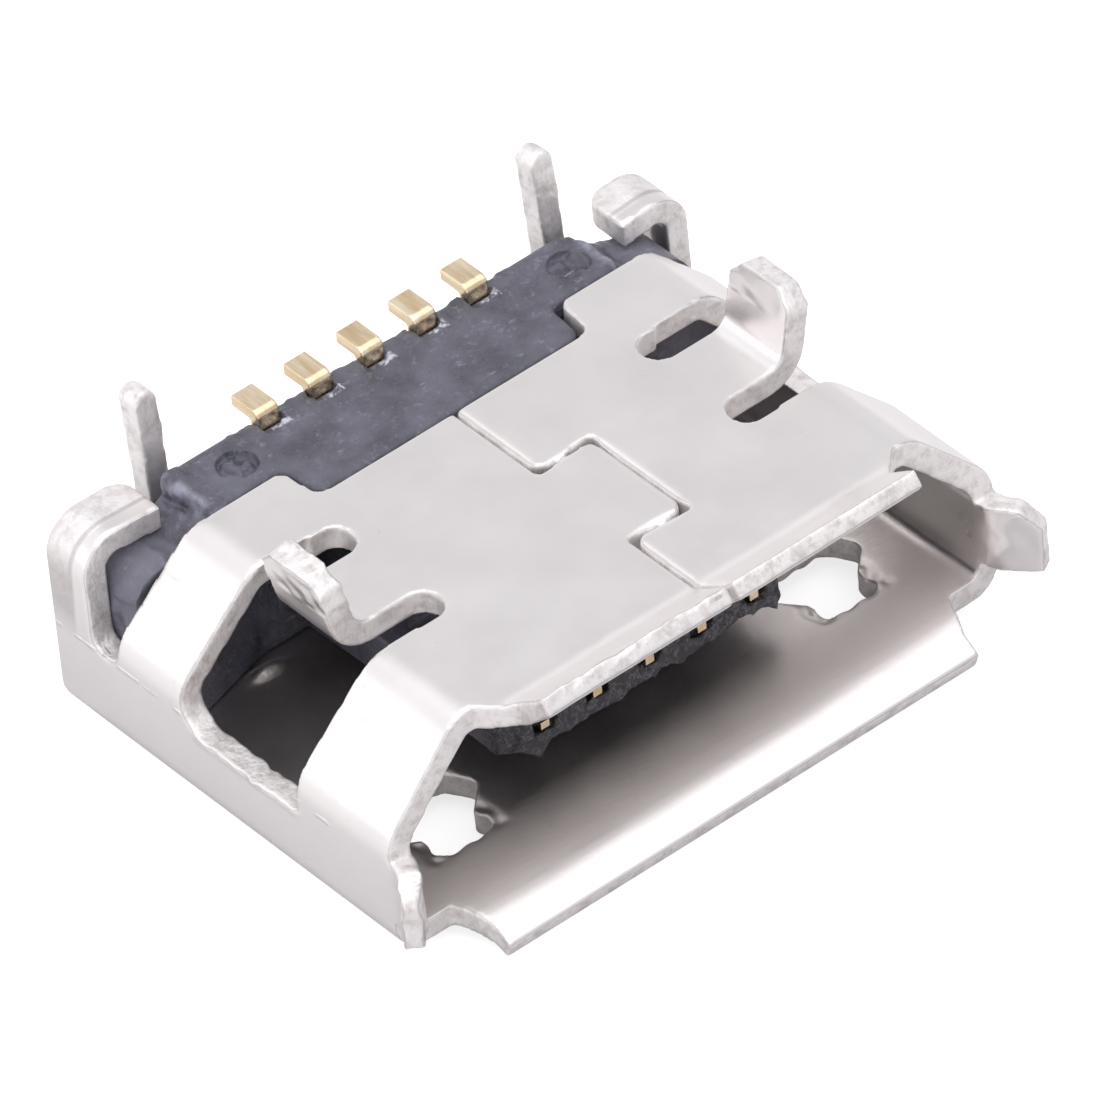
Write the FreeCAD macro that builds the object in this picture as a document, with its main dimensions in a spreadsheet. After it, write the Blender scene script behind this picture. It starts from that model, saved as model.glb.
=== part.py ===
import FreeCAD, Part
import math
import os
import Sketcher

# Charging port connector: a folded sheet-metal shell, a moulded housing with its tongue, and five contacts.
# Millimetres and degrees. X runs along the row of contacts, the mouth looks towards -Y, and the board lies
# on the +Z side. The origin is on the board seat, on the centre line, in the plane of the mouth.
SIZES = {
    # folded sheet
    "sheet": 0.28,
    "tube_width": 7.54,
    "tube_height": 2.45,
    "plate_width": 5.66,
    "slant_angle": 47.5,
    "plate_fold": 0.50,
    "crease_fold": 0.60,
    "floor_fold": 0.40,
    # rear edge of the board-side plate
    "plate_length": 3.40,
    "step_half_width": 1.68,
    "step_depth": 0.52,
    "step_round": 0.13,
    "step_overhang": 0.05,
    "corner_half_width": 2.62,
    "corner_round": 0.30,
    "flank_reach": 0.15,
    # rear ears that curl over the housing
    "notch_width": 0.38,
    "notch_floor": 1.30,
    "notch_round": 0.15,
    "ear_length": 0.60,
    "ear_fold": 0.42,
    "ear_drop": 0.05,
    "ear_slope": 0.06,
    "ear_left": 2.79,
    "ear_right": 2.97,
    "ear_round": 0.20,
    # seam with its dovetail tab
    "seam_gap": 0.06,
    "seam_inner_round": 0.06,
    "seam_outer_round": 0.12,
    "tab_reach": 0.68,
    "tab_rear": 2.19,
    "tab_front": 0.74,
    "tab_flare": 0.05,
    # front legs and the windows that they are cut from
    "leg_setback": 2.10,
    "leg_width": 0.88,
    "leg_inset": 0.20,
    "leg_height": 0.78,
    "leg_lean": 12.0,
    "leg_fold": 0.20,
    "leg_tip_cut": 0.18,
    "slot_width": 0.43,
    "slot_reach": 0.81,
    "slot_round": 0.19,
    "window_floor": 1.45,
    "window_sweep": 0.17,
    "window_round": 0.30,
    # flared lips round the mouth
    "plate_lip_root": 5.20,
    "plate_lip_width": 4.62,
    "plate_lip_taper": 0.32,
    "plate_lip_length": 0.62,
    "plate_lip_angle": 35.0,
    "plate_lip_edge": 0.20,
    "floor_lip_root": 6.20,
    "floor_lip_width": 5.86,
    "floor_lip_taper": 0.44,
    "floor_lip_length": 0.40,
    "floor_lip_angle": 22.0,
    "floor_lip_edge": 0.20,
    "side_lip_low": 2.00,
    "side_lip_high": 1.24,
    "side_lip_left": 0.32,
    "side_lip_right": 0.44,
    "side_lip_angle": 35.0,
    "side_lip_edge": 0.20,
    "side_lip_cut": 0.22,
    "lip_start": 0.20,
    "lip_fold": 0.35,
    "lip_round": 0.15,
    "lip_lead_in": 0.05,
    # latch windows in the wide plate
    "latch_spacing": 4.80,
    "latch_setback": 0.57,
    "latch_width": 0.80,
    "latch_length": 0.99,
    "latch_round": 0.12,
    "latch_waist": 0.12,
    "latch_waist_setback": 0.30,
    "latch_bulge": 0.20,
    "latch_bulge_setback": 0.60,
    # rear legs bent up from the wide plate
    "rear_leg_left": 2.41,
    "rear_leg_right": 2.53,
    "rear_leg_width": 0.27,
    "rear_leg_gap": 0.06,
    "rear_leg_lean": 4.4,
    "rear_leg_height": 0.72,
    "rear_leg_fold": 0.10,
    "rear_leg_relief": 0.24,
    "rear_leg_tip_cut": 0.08,
    # moulded housing
    "housing_clearance": 0.02,
    "block_front": 2.50,
    "block_inset": 0.30,
    "shoulder_drop": 0.45,
    "shoulder_round": 0.12,
    "crown_drop": 0.05,
    "crown_half_width": 2.55,
    "crown_gap": 0.05,
    "crown_round": 0.16,
    "crown_edge": 0.06,
    "tongue_width": 3.50,
    "tongue_front": 0.67,
    "tongue_high": 1.27,
    "tongue_thickness": 0.45,
    "tongue_cut": 0.20,
    "pin_mark_diameter": 0.42,
    "pin_mark_depth": 0.08,
    "pin_mark_left": 1.92,
    "pin_mark_right": 2.20,
    "pin_mark_inset": 0.41,
    # contacts
    "contact_pitch": 0.65,
    "contact_width": 0.27,
    "contact_thickness": 0.13,
    "contact_fold": 0.03,
    "contact_crest": 0.09,
    "contact_sink": 0.13,
    "contact_clearance": 0.01,
    "recess_length": 0.10,
    "recess_depth": 0.07,
    "tail_reach": 0.27,
    "tail_rise": 0.10,
}
CONTACT_COUNT = 5

doc = FreeCAD.newDocument("charging_port")
sheet_of_sizes = doc.addObject("Spreadsheet::Sheet", "sizes")
for row, (name, number) in enumerate(SIZES.items(), start=1):
    sheet_of_sizes.set(f"A{row}", name)
    sheet_of_sizes.set(f"B{row}", str(number))
    sheet_of_sizes.setAlias(f"B{row}", name)
doc.recompute()


class Size:
    """A dimension as a number, for a sketch's first guess, and as the expression that binds it."""

    def __init__(self, number, text):
        self.number = number
        self.text = text

    def __add__(self, other):
        other = as_size(other)
        return Size(self.number + other.number, f"({self.text} + {other.text})")

    def __sub__(self, other):
        other = as_size(other)
        return Size(self.number - other.number, f"({self.text} - {other.text})")

    def __mul__(self, other):
        other = as_size(other)
        return Size(self.number * other.number, f"({self.text} * {other.text})")

    def __truediv__(self, other):
        other = as_size(other)
        return Size(self.number / other.number, f"({self.text} / {other.text})")

    def __rsub__(self, other):
        return as_size(other) - self

    def __rmul__(self, other):
        return as_size(other) * self

    def __neg__(self):
        return Size(-self.number, f"(-1 * {self.text})")


def as_size(value):
    return value if isinstance(value, Size) else Size(float(value), str(float(value)))


def cell(name):
    return Size(float(sheet_of_sizes.get(name)), f"sizes.{name}")


def tan(angle):
    return Size(math.tan(math.radians(angle.number)), f"tan({angle.text})")


def sin(angle):
    return Size(math.sin(math.radians(angle.number)), f"sin({angle.text})")


def cos(angle):
    return Size(math.cos(math.radians(angle.number)), f"cos({angle.text})")


def new_body(label):
    body = doc.addObject("PartDesign::Body", label)
    body.Label = label
    return body


def set_size(thing, property_name, size):
    thing.setExpression(property_name, as_size(size).text)


def hold_point(sketch, item, end, x, y):
    """Hold one point of a sketch at x, y from its origin."""
    for direction, size in (("DistanceX", as_size(x)), ("DistanceY", as_size(y))):
        index = sketch.addConstraint(Sketcher.Constraint(direction, -1, 1, item, end, size.number))
        set_size(sketch, f"Constraints[{index}]", size)


def rounded_corner(before, corner, after, radius):
    """Where the two edges at a corner touch its round, and the centre of the round."""
    to_before = (before - corner).normalize()
    to_after = (after - corner).normalize()
    half_angle = to_before.getAngle(to_after) / 2
    reach = radius / math.tan(half_angle)
    middle = (to_before + to_after).normalize()
    centre = corner + middle * (radius / math.sin(half_angle))
    return corner + to_before * reach, corner + to_after * reach, centre


def new_sketch(body, name, plane_role, height=None):
    """An empty sketch on one of the body's own planes, or parallel to it at a height."""
    sketch = body.newObject("Sketcher::SketchObject", name)
    plane = next(item for item in body.Origin.OriginFeatures if item.Role == plane_role)
    sketch.AttachmentSupport = (plane, [""])
    sketch.MapMode = "FlatFace"
    if height is not None:
        set_size(sketch, "AttachmentOffset.Base.z", height)
    return sketch


def outline(body, name, plane_role, corners, height=None):
    """A closed outline through corners (x, y) or (x, y, radius), held by sizes at every corner."""
    sketch = new_sketch(body, name, plane_role, height)
    sizes = [[as_size(value) for value in corner] for corner in corners]
    points = [FreeCAD.Vector(corner[0].number, corner[1].number, 0) for corner in sizes]
    count = len(points)
    starts, ends, rounds = list(points), list(points), [None] * count
    for i, corner in enumerate(sizes):
        if len(corner) == 3:
            touch = rounded_corner(points[i - 1], points[i], points[(i + 1) % count], corner[2].number)
            ends[i], starts[i], rounds[i] = touch
    lines = []
    for i in range(count):
        line = Part.LineSegment(starts[i], ends[(i + 1) % count])
        lines.append(sketch.addGeometry(line, False))
    for i, corner in enumerate(sizes):
        line_in, line_out = lines[i - 1], lines[i]
        if rounds[i] is None:
            sketch.addConstraint(Sketcher.Constraint("Coincident", line_in, 2, line_out, 1))
            hold_point(sketch, line_out, 1, corner[0], corner[1])
            continue
        join_with_round(sketch, line_in, line_out, ends[i], starts[i], rounds[i], corner)
    return sketch


def join_with_round(sketch, line_in, line_out, first, last, centre, corner):
    """Round a sketch's corner with an arc that touches both lines, and hold the sharp corner itself."""
    angles = [math.atan2(point.y - centre.y, point.x - centre.x) for point in (first, last)]
    turns_left = math.remainder(angles[1] - angles[0], 2 * math.pi) > 0
    if not turns_left:
        angles.reverse()
    circle = Part.Circle(centre, FreeCAD.Vector(0, 0, 1), corner[2].number)
    arc = sketch.addGeometry(Part.ArcOfCircle(circle, angles[0], angles[1]), False)
    arc_ends = (1, 2) if turns_left else (2, 1)
    sketch.addConstraint(Sketcher.Constraint("Tangent", line_in, 2, arc, arc_ends[0]))
    sketch.addConstraint(Sketcher.Constraint("Tangent", arc, arc_ends[1], line_out, 1))
    index = sketch.addConstraint(Sketcher.Constraint("Radius", arc, corner[2].number))
    set_size(sketch, f"Constraints[{index}]", corner[2])
    sharp = sketch.addGeometry(Part.Point(FreeCAD.Vector(corner[0].number, corner[1].number, 0)), True)
    sketch.addConstraint(Sketcher.Constraint("PointOnObject", sharp, 1, line_in))
    sketch.addConstraint(Sketcher.Constraint("PointOnObject", sharp, 1, line_out))
    hold_point(sketch, sharp, 1, corner[0], corner[1])


def extrude(body, kind, name, sketch, length, flip=False, both_ways=False):
    """A Pad or a Pocket of a sketch."""
    feature = body.newObject(f"PartDesign::{kind}", name)
    feature.Profile = (sketch, [""])
    feature.Reversed = flip
    if both_ways:
        feature.SideType = "Symmetric"
    set_size(feature, "Length", length)
    sketch.Visibility = False
    return feature


def edge_names_near(shape, points):
    """The names of the edges whose middles lie nearest to the points."""
    names = []
    for point in points:
        spot = FreeCAD.Vector(*(as_size(value).number for value in point))
        distances = [edge.CenterOfMass.distanceToPoint(spot) for edge in shape.Edges]
        names.append(f"Edge{distances.index(min(distances)) + 1}")
    return names


def dress(body, kind, name, points, size):
    """A Fillet or a Chamfer on the edges nearest to the points."""
    doc.recompute()
    base = body.Tip
    feature = body.newObject(f"PartDesign::{kind}", name)
    feature.Base = (base, edge_names_near(base.Shape, points))
    set_size(feature, "Radius" if kind == "Fillet" else "Size", size)
    return feature


def mirrored(corners):
    """Corners for x > 0, from front to rear, followed by their mirror images from rear to front."""
    return corners + [[-as_size(c[0])] + list(c[1:]) for c in reversed(corners)]


# Sizes that several pieces share.
sheet = cell("sheet")
half_width = cell("tube_width") / 2
half_plate = cell("plate_width") / 2
slant = cell("slant_angle")
crease = (half_width - half_plate) * tan(slant)
inner_half_width = half_width - sheet
inner_floor = cell("tube_height") - sheet
inner_half_plate = half_plate - sheet * tan(slant / 2)
inner_crease = crease + sheet * tan(45 - slant / 2)
step_rear = cell("plate_length") + cell("step_depth")
flank_rear = step_rear + cell("flank_reach")
ear_front = flank_rear + cell("notch_width")
tube_length = ear_front + cell("ear_length")
block_rear = tube_length - cell("block_inset")
leg_root = half_plate - cell("leg_inset")
leg_bend_start = leg_root - cell("leg_fold") - sheet
rear_leg_root = block_rear + cell("rear_leg_gap")
rear_leg_bend_start = rear_leg_root - cell("rear_leg_fold") - sheet
riser_rear = block_rear - cell("contact_clearance")
blade_top = cell("tongue_high") + cell("contact_sink")
OVERLAP = 0.10
BEYOND = 1.00


def tube_section(inset):
    """The shell's inside outline, drawn in by a clearance, with the wide plate below."""
    half = inner_half_width - inset
    top_half = inner_half_plate - inset * tan(slant / 2)
    knee = inner_crease + inset * tan(45 - slant / 2)
    return mirrored(
        [
            (half, -(inner_floor - inset), cell("floor_fold") - sheet),
            (half, -knee, cell("crease_fold") - sheet),
            (top_half, -(sheet + inset), cell("plate_fold") - sheet),
        ]
    )


def bent_strip(root, across, turn, length, fold, sign=1):
    """A strip of sheet that runs in from the root, turns at a fold and goes on, as six corners.

    The strip's face on the inside of the turn comes first: root and across place its sharp corner, and
    turn is the angle that it turns through. sign is -1 where it runs and turns the other way.
    """
    across = as_size(across)
    inside = (root, across, fold)
    inside_tip = (root + cos(turn) * length * sign, across + sin(turn) * length)
    outside_tip = (inside_tip[0] + sin(turn) * sheet * sign, inside_tip[1] - cos(turn) * sheet)
    outside = (root + tan(turn / 2) * sheet * sign, across - sheet, fold + sheet)
    return [inside, inside_tip, outside_tip, outside]


def make_tube(body):
    outer = mirrored(
        [
            (half_width, -cell("tube_height"), cell("floor_fold")),
            (half_width, -crease, cell("crease_fold")),
            (half_plate, 0, cell("plate_fold")),
        ]
    )
    sketch = outline(body, "tube_outside", "XZ_Plane", outer)
    extrude(body, "Pad", "tube", sketch, tube_length, flip=True)
    sketch = outline(body, "tube_inside", "XZ_Plane", tube_section(as_size(0)))
    extrude(body, "Pocket", "tube_hollow", sketch, tube_length)


def cut_rear_edge(body):
    """The stepped rear edge of the board-side plate, and the notch's front edge on each flank."""
    round_size = cell("step_round")
    edge = [
        (cell("step_half_width"), cell("plate_length"), round_size),
        (cell("step_half_width") + cell("step_overhang"), step_rear, round_size),
        (cell("corner_half_width"), step_rear, cell("corner_round")),
        (half_width, flank_rear),
        (half_width + BEYOND, flank_rear),
        (half_width + BEYOND, tube_length + BEYOND),
    ]
    sketch = outline(body, "rear_edge", "XY_Plane", mirrored(edge))
    extrude(body, "Pocket", "rear_cut", sketch, cell("notch_floor"))


def add_ears(body):
    """Two ears that rise from the flanks behind a notch and curl over the housing."""
    for side, label in ((-1, "left"), (1, "right")):
        tip, drop = cell(f"ear_{label}"), cell("ear_drop")
        tip_drop = drop + cell("ear_slope")
        ear = [
            (half_width * side, -cell("notch_floor")),
            (half_width * side, -drop, cell("ear_fold")),
            (tip * side, -tip_drop),
            (tip * side, -(tip_drop + sheet)),
            (inner_half_width * side, -(drop + sheet), cell("ear_fold") - sheet),
            (inner_half_width * side, -cell("notch_floor")),
        ]
        sketch = outline(body, f"ear_section_{label}", "XZ_Plane", ear, height=-ear_front)
        extrude(body, "Pad", f"ear_{label}", sketch, cell("ear_length"), flip=True)
    middle = half_width - sheet / 2
    spots = [
        (middle * side, y, -cell("notch_floor")) for side in (-1, 1) for y in (flank_rear, ear_front)
    ]
    dress(body, "Fillet", "notch_rounds", spots, cell("notch_round"))
    middle = cell("ear_drop") + cell("ear_slope") + sheet / 2
    spots = [(-cell("ear_left"), tube_length, -middle), (cell("ear_right"), tube_length, -middle)]
    dress(body, "Fillet", "ear_rounds", spots, cell("ear_round"))


def cut_windows(body):
    """A window in each flank, with a slot on each side of the tab that becomes the front leg."""
    centre = cell("leg_setback")
    reach = cell("leg_width") / 2 + cell("slot_width")
    slot_end = leg_root - cell("slot_reach")
    for side, label in ((-1, "left"), (1, "right")):
        window = [
            (centre - reach + cell("window_sweep"), -cell("window_floor")),
            (centre + reach + cell("window_sweep"), -cell("window_floor"), cell("window_round")),
            (centre + reach, sheet),
            (centre - reach, sheet),
        ]
        sketch = outline(body, f"window_outline_{label}", "YZ_Plane", window, height=leg_bend_start * side)
        extrude(body, "Pocket", f"window_{label}", sketch, half_width, flip=side > 0)
        for end, place in ((-1, "front"), (1, "rear")):
            near = centre + (reach - cell("slot_width")) * end
            far = centre + reach * end
            slot = [
                (slot_end * side, near, cell("slot_round")),
                (slot_end * side, far, cell("slot_round")),
                ((leg_bend_start + OVERLAP) * side, far),
                ((leg_bend_start + OVERLAP) * side, near),
            ]
            sketch = outline(body, f"slot_outline_{place}_{label}", "XY_Plane", slot)
            extrude(body, "Pocket", f"slot_{place}_{label}", sketch, sheet * 2)


def add_front_legs(body):
    """The tab of each window bent up towards the board, leaning out, with cut tip corners."""
    turn = 90 - cell("leg_lean")
    length = cell("leg_height") / cos(cell("leg_lean"))
    start = leg_bend_start - OVERLAP
    front = cell("leg_setback") - cell("leg_width") / 2
    spots = []
    for side, label in ((-1, "left"), (1, "right")):
        strip = bent_strip(leg_root * side, 0, turn, length, cell("leg_fold"), side)
        section = [(start * side, 0)] + strip + [(start * side, -sheet)]
        sketch = outline(body, f"leg_section_{label}", "XZ_Plane", section, height=-front)
        extrude(body, "Pad", f"front_leg_{label}", sketch, cell("leg_width"), flip=True)
        tip_x = (strip[1][0] + strip[2][0]) / 2
        tip_z = (strip[1][1] + strip[2][1]) / 2
        spots += [(tip_x, front, tip_z), (tip_x, front + cell("leg_width"), tip_z)]
    dress(body, "Chamfer", "leg_tip_cuts", spots, cell("leg_tip_cut"))


def add_plate_lips(body):
    """The lips of the board-side plate and of the wide plate, flared apart and thinner at their edges."""
    start = OVERLAP
    places = (("plate", 0, 1), ("floor", -cell("tube_height"), -1))
    for label, level, up in places:
        angle = cell(f"{label}_lip_angle")
        reach = cell(f"{label}_lip_length")
        level = as_size(level)
        tip = (-cell("lip_start") - cos(angle) * reach, level + sin(angle) * reach * up)
        edge = cell(f"{label}_lip_edge")
        under_tip = (tip[0] - sin(angle) * edge, tip[1] - cos(angle) * edge * up)
        section = [
            (start, level),
            (-cell("lip_start"), level, cell("lip_fold")),
            tip,
            under_tip,
            (-cell("lip_start") - tan(angle / 2) * sheet, level - sheet * up, cell("lip_fold") + sheet),
            (start, level - sheet * up),
        ]
        sketch = outline(body, f"{label}_lip_section", "YZ_Plane", section)
        extrude(body, "Pad", f"{label}_lip", sketch, cell(f"{label}_lip_root"), both_ways=True)
        root, half = cell(f"{label}_lip_root") / 2, cell(f"{label}_lip_width") / 2
        for side, hand in ((-1, "left"), (1, "right")):
            side_cut = [
                (root * side, 0),
                (half * side, -cell(f"{label}_lip_taper"), cell("lip_round")),
                (half * side, -BEYOND),
                ((root + OVERLAP) * side, -BEYOND),
                ((root + OVERLAP) * side, 0),
            ]
            cut_from = level + BEYOND * up
            sketch = outline(body, f"{label}_lip_side_{hand}", "XY_Plane", side_cut, height=cut_from)
            extrude(body, "Pocket", f"{label}_lip_cut_{hand}", sketch, sheet * 2 + BEYOND, flip=up < 0)
        dress(body, "Fillet", f"{label}_lip_lead_in", [(0, *under_tip)], cell("lip_lead_in"))


def add_side_lips(body):
    """The lips of the two flanks, flared outwards."""
    angle = cell("side_lip_angle")
    for side, label in ((-1, "left"), (1, "right")):
        reach = cell(f"side_lip_{label}")
        tip = ((half_width + sin(angle) * reach) * side, -cell("lip_start") / 2 - cos(angle) * reach)
        edge = cell("side_lip_edge")
        inner_tip = (tip[0] - cos(angle) * edge * side, tip[1] - sin(angle) * edge)
        section = [
            (half_width * side, OVERLAP),
            (half_width * side, -cell("lip_start") / 2, cell("lip_fold")),
            tip,
            inner_tip,
            (
                inner_half_width * side,
                -cell("lip_start") / 2 - tan(angle / 2) * sheet,
                cell("lip_fold") + sheet,
            ),
            (inner_half_width * side, OVERLAP),
        ]
        low = cell("side_lip_low")
        sketch = outline(body, f"side_lip_section_{label}", "XY_Plane", section, height=-low)
        extrude(body, "Pad", f"side_lip_{label}", sketch, low - cell("side_lip_high"))
        tip_middle = [(tip[i] + inner_tip[i]) / 2 for i in (0, 1)]
        spot = (*tip_middle, -cell("side_lip_high"))
        dress(body, "Chamfer", f"side_lip_corner_{label}", [spot], cell("side_lip_cut"))
        spot = (*inner_tip, -(low + cell("side_lip_high") + cell("side_lip_cut")) / 2)
        dress(body, "Fillet", f"side_lip_lead_in_{label}", [spot], cell("lip_lead_in"))


def cut_seam(body):
    """The seam along the middle of the board-side plate, which jogs round a dovetail tab."""
    half = cell("seam_gap") / 2
    reach, rear, front = cell("tab_reach"), cell("tab_rear"), cell("tab_front")
    flare = cell("tab_flare")
    inner_round, outer_round = cell("seam_inner_round"), cell("seam_outer_round")
    far = cell("plate_length") + BEYOND
    near = -BEYOND
    seam = [
        (half, near),
        (half, front + flare - half, outer_round),
        (reach + half, front - half, inner_round),
        (reach + half, rear + half, inner_round),
        (half, rear - flare + half, outer_round),
        (half, far),
        (-half, far),
        (-half, rear - flare - half, inner_round),
        (reach - half, rear - half, outer_round),
        (reach - half, front + half, outer_round),
        (-half, front + flare + half, inner_round),
        (-half, near),
    ]
    sketch = outline(body, "seam_outline", "XY_Plane", seam, height=as_size(BEYOND))
    extrude(body, "Pocket", "seam", sketch, sheet * 2 + BEYOND)


def cut_latch_windows(body):
    """The two windows in the wide plate that the plug's latches drop into, waisted and then wider."""
    for side, label in ((-1, "left"), (1, "right")):
        x = cell("latch_spacing") / 2 * side
        front = cell("latch_setback")
        rear = front + cell("latch_length")
        half = cell("latch_width") / 2
        waist, waist_y = half - cell("latch_waist"), front + cell("latch_waist_setback")
        bulge, bulge_y = half + cell("latch_bulge"), front + cell("latch_bulge_setback")
        round_size = cell("latch_round")
        window = [
            (x - half, front, round_size),
            (x + half, front, round_size),
            (x + waist, waist_y, round_size),
            (x + bulge, bulge_y, round_size),
            (x + half, rear, round_size),
            (x - half, rear, round_size),
            (x - bulge, bulge_y, round_size),
            (x - waist, waist_y, round_size),
        ]
        sketch = outline(body, f"latch_outline_{label}", "XY_Plane", window, height=-inner_floor)
        extrude(body, "Pocket", f"latch_window_{label}", sketch, sheet)


def cut_wide_plate_rear(body):
    """The wide plate's rear edge, level with the housing, with a relief on each side of each rear leg."""
    reach = cell("rear_leg_width") / 2 + cell("rear_leg_relief")
    left, right = -cell("rear_leg_left"), cell("rear_leg_right")
    edge = [
        (right + reach, tube_length + BEYOND),
        (right + reach, rear_leg_bend_start),
        (right - reach, rear_leg_bend_start),
        (right - reach, block_rear),
        (left + reach, block_rear),
        (left + reach, rear_leg_bend_start),
        (left - reach, rear_leg_bend_start),
        (left - reach, tube_length + BEYOND),
    ]
    sketch = outline(body, "wide_plate_rear", "XY_Plane", edge, height=-inner_floor + OVERLAP)
    extrude(body, "Pocket", "wide_plate_cut", sketch, sheet + OVERLAP)


def add_rear_legs(body):
    """A narrow leg on each side, bent up from the wide plate behind the housing."""
    lean = cell("rear_leg_lean")
    turn = 90 - lean
    length = (inner_floor + cell("rear_leg_height")) / cos(lean)
    start = rear_leg_bend_start - OVERLAP
    strip = bent_strip(rear_leg_root, -inner_floor, turn, length, cell("rear_leg_fold"))
    section = [(start, -inner_floor)] + strip + [(start, -cell("tube_height"))]
    tip_y = (strip[1][0] + strip[2][0]) / 2
    tip_z = (strip[1][1] + strip[2][1]) / 2
    spots = []
    for side, label in ((-1, "left"), (1, "right")):
        left_face = cell(f"rear_leg_{label}") * side - cell("rear_leg_width") / 2
        sketch = outline(body, f"rear_leg_section_{label}", "YZ_Plane", section, height=left_face)
        extrude(body, "Pad", f"rear_leg_{label}", sketch, cell("rear_leg_width"))
        spots += [(left_face, tip_y, tip_z), (left_face + cell("rear_leg_width"), tip_y, tip_z)]
    dress(body, "Chamfer", "rear_leg_tip_cuts", spots, cell("rear_leg_tip_cut"))


def make_shell():
    body = new_body("shell")
    make_tube(body)
    cut_rear_edge(body)
    add_ears(body)
    cut_windows(body)
    add_front_legs(body)
    add_plate_lips(body)
    add_side_lips(body)
    cut_seam(body)
    cut_latch_windows(body)
    cut_wide_plate_rear(body)
    add_rear_legs(body)
    return body


def contact_outline():
    """A contact seen from the side: blade, riser and tail."""
    thick = cell("contact_thickness")
    fold, crest = cell("contact_fold"), cell("contact_crest")
    top = cell("tail_rise")
    tail_end = block_rear + cell("tail_reach")
    return [
        (cell("tongue_front"), -(blade_top + thick)),
        (riser_rear, -(blade_top + thick), crest),
        (riser_rear, top - thick, fold),
        (tail_end, top - thick),
        (tail_end, top),
        (riser_rear - thick, top, crest),
        (riser_rear - thick, -blade_top, fold),
        (cell("tongue_front"), -blade_top),
    ]


def make_contact(number):
    body = new_body(f"contact_{number}")
    place = (number - (CONTACT_COUNT + 1) / 2) * cell("contact_pitch")
    sketch = outline(body, f"contact_side_{number}", "YZ_Plane", contact_outline())
    extrude(body, "Pad", f"contact_strip_{number}", sketch, cell("contact_width"), both_ways=True)
    set_size(body, "Placement.Base.x", place)
    return body


def make_block(body):
    """The block that closes the shell's rear, wider where it lies behind the flanks' rear edges."""
    clearance = cell("housing_clearance")
    length = block_rear - cell("block_front")
    sketch = outline(body, "block_section", "XZ_Plane", tube_section(clearance), height=-cell("block_front"))
    extrude(body, "Pad", "block", sketch, length, flip=True)
    half = inner_half_width - clearance
    front = flank_rear + clearance
    shoulder = mirrored([(half, front), (half, block_rear)])
    sketch = outline(body, "shoulder_outline", "XY_Plane", shoulder, height=-(inner_crease + OVERLAP))
    extrude(body, "Pad", "shoulders", sketch, inner_crease + OVERLAP - cell("shoulder_drop"))
    middle = (front + block_rear) / 2
    spots = [(half * side, middle, -cell("shoulder_drop")) for side in (-1, 1)]
    dress(body, "Fillet", "shoulder_rounds", spots, cell("shoulder_round"))


def make_crown(body):
    """The raised part behind the plate's stepped rear edge, level with the board seat but for a drop."""
    gap = cell("crown_gap")
    round_size = cell("crown_round")
    crown = mirrored(
        [
            (cell("step_half_width") - gap, cell("plate_length") + gap, round_size),
            (cell("step_half_width") - gap + cell("step_overhang"), step_rear + gap, round_size / 2),
            (cell("crown_half_width"), step_rear + gap, round_size),
            (cell("crown_half_width"), block_rear, round_size / 2),
        ]
    )
    low = sheet * 2
    sketch = outline(body, "crown_outline", "XY_Plane", crown, height=-low)
    extrude(body, "Pad", "crown", sketch, low - cell("crown_drop"))
    spots = [(cell("crown_half_width") * side, block_rear, -cell("crown_drop")) for side in (-1, 1)]
    dress(body, "Fillet", "crown_edges", spots, cell("crown_edge"))


def make_tongue(body):
    """The tongue that carries the contacts' blades on its board side."""
    half = cell("tongue_width") / 2
    low = cell("tongue_high") + cell("tongue_thickness")
    section = mirrored([(half, -low), (half, -cell("tongue_high"))])
    sketch = outline(body, "tongue_section", "XZ_Plane", section, height=-cell("tongue_front"))
    length = cell("block_front") + OVERLAP - cell("tongue_front")
    extrude(body, "Pad", "tongue", sketch, length, flip=True)
    middle = cell("tongue_high") + cell("tongue_thickness") / 2
    spots = [(half * side, cell("tongue_front"), -middle) for side in (-1, 1)]
    dress(body, "Chamfer", "tongue_corners", spots, cell("tongue_cut"))


def cut_channels(body):
    """A channel for each contact: along the tongue, through the block, up its rear and over its top edge."""
    clearance = cell("contact_clearance")
    low = -(blade_top + cell("contact_thickness") + clearance)
    high = -(blade_top - clearance)
    rear = block_rear + BEYOND
    front = riser_rear - cell("contact_thickness") - clearance
    recess_front = front - cell("recess_length")
    recess_floor = -(cell("crown_drop") + cell("recess_depth"))
    channel = [
        (0, low),
        (rear, low),
        (rear, BEYOND),
        (recess_front, BEYOND),
        (recess_front, recess_floor),
        (front, recess_floor),
        (front, high),
        (cell("block_front"), high),
        (cell("block_front"), -cell("tongue_high") + OVERLAP),
        (0, -cell("tongue_high") + OVERLAP),
    ]
    for number in range(1, CONTACT_COUNT + 1):
        place = (number - (CONTACT_COUNT + 1) / 2) * cell("contact_pitch")
        side = place - cell("contact_width") / 2 - clearance
        sketch = outline(body, f"channel_outline_{number}", "YZ_Plane", channel, height=side)
        width = cell("contact_width") + clearance * 2
        extrude(body, "Pocket", f"channel_{number}", sketch, width, flip=True)


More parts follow.
